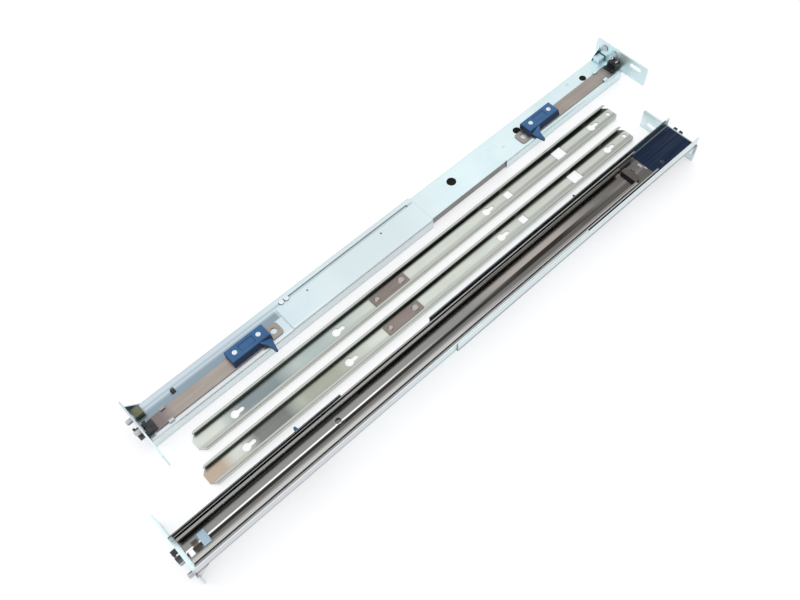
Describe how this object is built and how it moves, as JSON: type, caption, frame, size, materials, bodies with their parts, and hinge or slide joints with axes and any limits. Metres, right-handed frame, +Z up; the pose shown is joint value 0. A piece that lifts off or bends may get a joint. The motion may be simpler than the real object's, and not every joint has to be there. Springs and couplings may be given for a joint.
{
  "type": "sliding server rail pair",
  "caption": "Pair of telescoping server rails with ball slides, post flanges and sprung latch levers, laid beside their two loose inner members.",
  "frame": {"origin": "on the surface the pieces lie on, under the centre of the whole row", "axes": "+X along the rails, from the left rail's front flange towards the right rail's front flange; +Y from the left rail to the right rail; +Z up"},
  "size_m": [0.7966, 0.1954, 0.0415],
  "materials": {
    "zinc_plate": "bright zinc plating, satin",
    "slide_steel": "bright cold-rolled steel, lightly oiled",
    "inner_zinc": "grey-green zinc plating, satin",
    "strap_steel": "bare spring steel, satin",
    "leaf_steel": "bare spring steel, satin",
    "rivet_steel": "bright steel",
    "pin_steel": "bright steel",
    "strip_steel": "dull steel",
    "ball_steel": "polished balls",
    "spring_steel": "drawn spring wire",
    "olive_zinc": "olive passivated zinc",
    "black_oxide": "black oxide",
    "blue_plastic": "moulded, satin",
    "bumper_plastic": "natural moulded plastic"
  },
  "bodies": {
    "right_front_body": {"right_front_bracket": "zinc_plate", "right_outer_member": "slide_steel", "right_member_rivets": "rivet_steel", "right_depth_guides": "rivet_steel", "right_rear_bumper": "bumper_plastic", "right_front_pins": "pin_steel", "right_front_guide_block": "zinc_plate", "right_front_spring": "spring_steel"},
    "right_rear_body": {"right_rear_bracket": "zinc_plate", "right_rear_pins": "pin_steel", "right_rear_guide_block": "olive_zinc", "right_rear_spring": "spring_steel"},
    "right_intermediate_body": {"right_intermediate_member": "slide_steel", "right_channel_clip": "zinc_plate"},
    "right_outer_ball_cage": {"right_outer_ball_strips": "strip_steel", "right_outer_balls": "ball_steel"},
    "right_inner_ball_cage": {"right_inner_ball_strips": "strip_steel", "right_inner_balls": "ball_steel"},
    "right_front_latch": {"right_front_strap": "strap_steel", "right_front_lever": "blue_plastic", "right_front_lever_rivets": "rivet_steel", "right_front_hook": "black_oxide"},
    "right_rear_latch": {"right_rear_strap": "strap_steel", "right_rear_lever": "blue_plastic", "right_rear_lever_rivets": "rivet_steel", "right_rear_hook": "black_oxide"},
    "left_front_body": {"left_front_bracket": "zinc_plate", "left_outer_member": "slide_steel", "left_member_rivets": "rivet_steel", "left_depth_guides": "rivet_steel", "left_rear_bumper": "bumper_plastic", "left_front_pins": "pin_steel", "left_front_guide_block": "zinc_plate", "left_front_spring": "spring_steel"},
    "left_rear_body": {"left_rear_bracket": "zinc_plate", "left_rear_pins": "pin_steel", "left_rear_guide_block": "olive_zinc", "left_rear_spring": "spring_steel"},
    "left_intermediate_body": {"left_intermediate_member": "slide_steel", "left_channel_clip": "zinc_plate"},
    "left_outer_ball_cage": {"left_outer_ball_strips": "strip_steel", "left_outer_balls": "ball_steel"},
    "left_inner_ball_cage": {"left_inner_ball_strips": "strip_steel", "left_inner_balls": "ball_steel"},
    "left_front_latch": {"left_front_strap": "strap_steel", "left_front_lever": "blue_plastic", "left_front_lever_rivets": "rivet_steel", "left_front_hook": "black_oxide"},
    "left_rear_latch": {"left_rear_strap": "strap_steel", "left_rear_lever": "blue_plastic", "left_rear_lever_rivets": "rivet_steel", "left_rear_hook": "black_oxide"},
    "upper_inner_rail": {"upper_inner_member": "inner_zinc"},
    "upper_lock": {"upper_lock_leaf": "leaf_steel", "upper_leaf_studs": "rivet_steel"},
    "lower_inner_rail": {"lower_inner_member": "inner_zinc"},
    "lower_lock": {"lower_lock_leaf": "leaf_steel", "lower_leaf_studs": "rivet_steel"}
  },
  "joints": [
    {"name": "right_depth_adjust", "type": "slide", "parent": "right_front_body", "child": "right_rear_body", "axis": [-1, 0, 0], "range_m": [0, 0.165]},
    {"name": "right_slide_out", "type": "slide", "parent": "right_front_body", "child": "right_intermediate_body", "axis": [1, 0, 0], "range_m": [0, 0.34]},
    {"name": "right_outer_cage_roll", "type": "slide", "parent": "right_front_body", "child": "right_outer_ball_cage", "axis": [1, 0, 0], "range_m": [0, 0.17]},
    {"name": "right_inner_cage_roll", "type": "slide", "parent": "right_intermediate_body", "child": "right_inner_ball_cage", "axis": [-1, 0, 0], "range_m": [0, 0.39]},
    {"name": "right_front_latch_pull", "type": "slide", "parent": "right_front_body", "child": "right_front_latch", "axis": [-1, 0, 0], "range_m": [0, 0.008], "stiffness_N_per_m": 800, "springref_m": -0.004, "deforming": ["right_front_spring"]},
    {"name": "right_rear_latch_pull", "type": "slide", "parent": "right_rear_body", "child": "right_rear_latch", "axis": [1, 0, 0], "range_m": [0, 0.008], "stiffness_N_per_m": 800, "springref_m": -0.004, "deforming": ["right_rear_spring"]},
    {"name": "left_depth_adjust", "type": "slide", "parent": "left_front_body", "child": "left_rear_body", "axis": [1, 0, 0], "range_m": [0, 0.165]},
    {"name": "left_slide_out", "type": "slide", "parent": "left_front_body", "child": "left_intermediate_body", "axis": [-1, 0, 0], "range_m": [0, 0.34]},
    {"name": "left_outer_cage_roll", "type": "slide", "parent": "left_front_body", "child": "left_outer_ball_cage", "axis": [-1, 0, 0], "range_m": [0, 0.17]},
    {"name": "left_inner_cage_roll", "type": "slide", "parent": "left_intermediate_body", "child": "left_inner_ball_cage", "axis": [1, 0, 0], "range_m": [0, 0.39]},
    {"name": "left_front_latch_pull", "type": "slide", "parent": "left_front_body", "child": "left_front_latch", "axis": [1, 0, 0], "range_m": [0, 0.008], "stiffness_N_per_m": 800, "springref_m": -0.004, "deforming": ["left_front_spring"]},
    {"name": "left_rear_latch_pull", "type": "slide", "parent": "left_rear_body", "child": "left_rear_latch", "axis": [-1, 0, 0], "range_m": [0, 0.008], "stiffness_N_per_m": 800, "springref_m": -0.004, "deforming": ["left_rear_spring"]},
    {"name": "left_rail_lift", "type": "slide", "parent": "right_front_body", "child": "left_front_body", "axis": [0, 0, 1], "range_m": [0, 0.06]},
    {"name": "upper_inner_rail_lift", "type": "slide", "parent": "right_front_body", "child": "upper_inner_rail", "axis": [0, 0, 1], "range_m": [0, 0.06]},
    {"name": "upper_lock_leaf_lift", "type": "hinge", "parent": "upper_inner_rail", "child": "upper_lock", "pos_m": [-0.07, 0.023, 0.0012], "axis": [0, -1, 0], "range_deg": [0, 7], "stiffness_Nm_per_rad": 0.8, "springref_deg": -2.86},
    {"name": "lower_inner_rail_lift", "type": "slide", "parent": "right_front_body", "child": "lower_inner_rail", "axis": [0, 0, 1], "range_m": [0, 0.06]},
    {"name": "lower_lock_leaf_lift", "type": "hinge", "parent": "lower_inner_rail", "child": "lower_lock", "pos_m": [-0.083, -0.0148, 0.0012], "axis": [0, -1, 0], "range_deg": [0, 7], "stiffness_Nm_per_rad": 0.8, "springref_deg": -2.86}
  ],
  "couplings": [
    {"joint": "right_outer_cage_roll", "follows": "right_slide_out", "ratio": 0.5},
    {"joint": "left_outer_cage_roll", "follows": "left_slide_out", "ratio": 0.5}
  ]
}
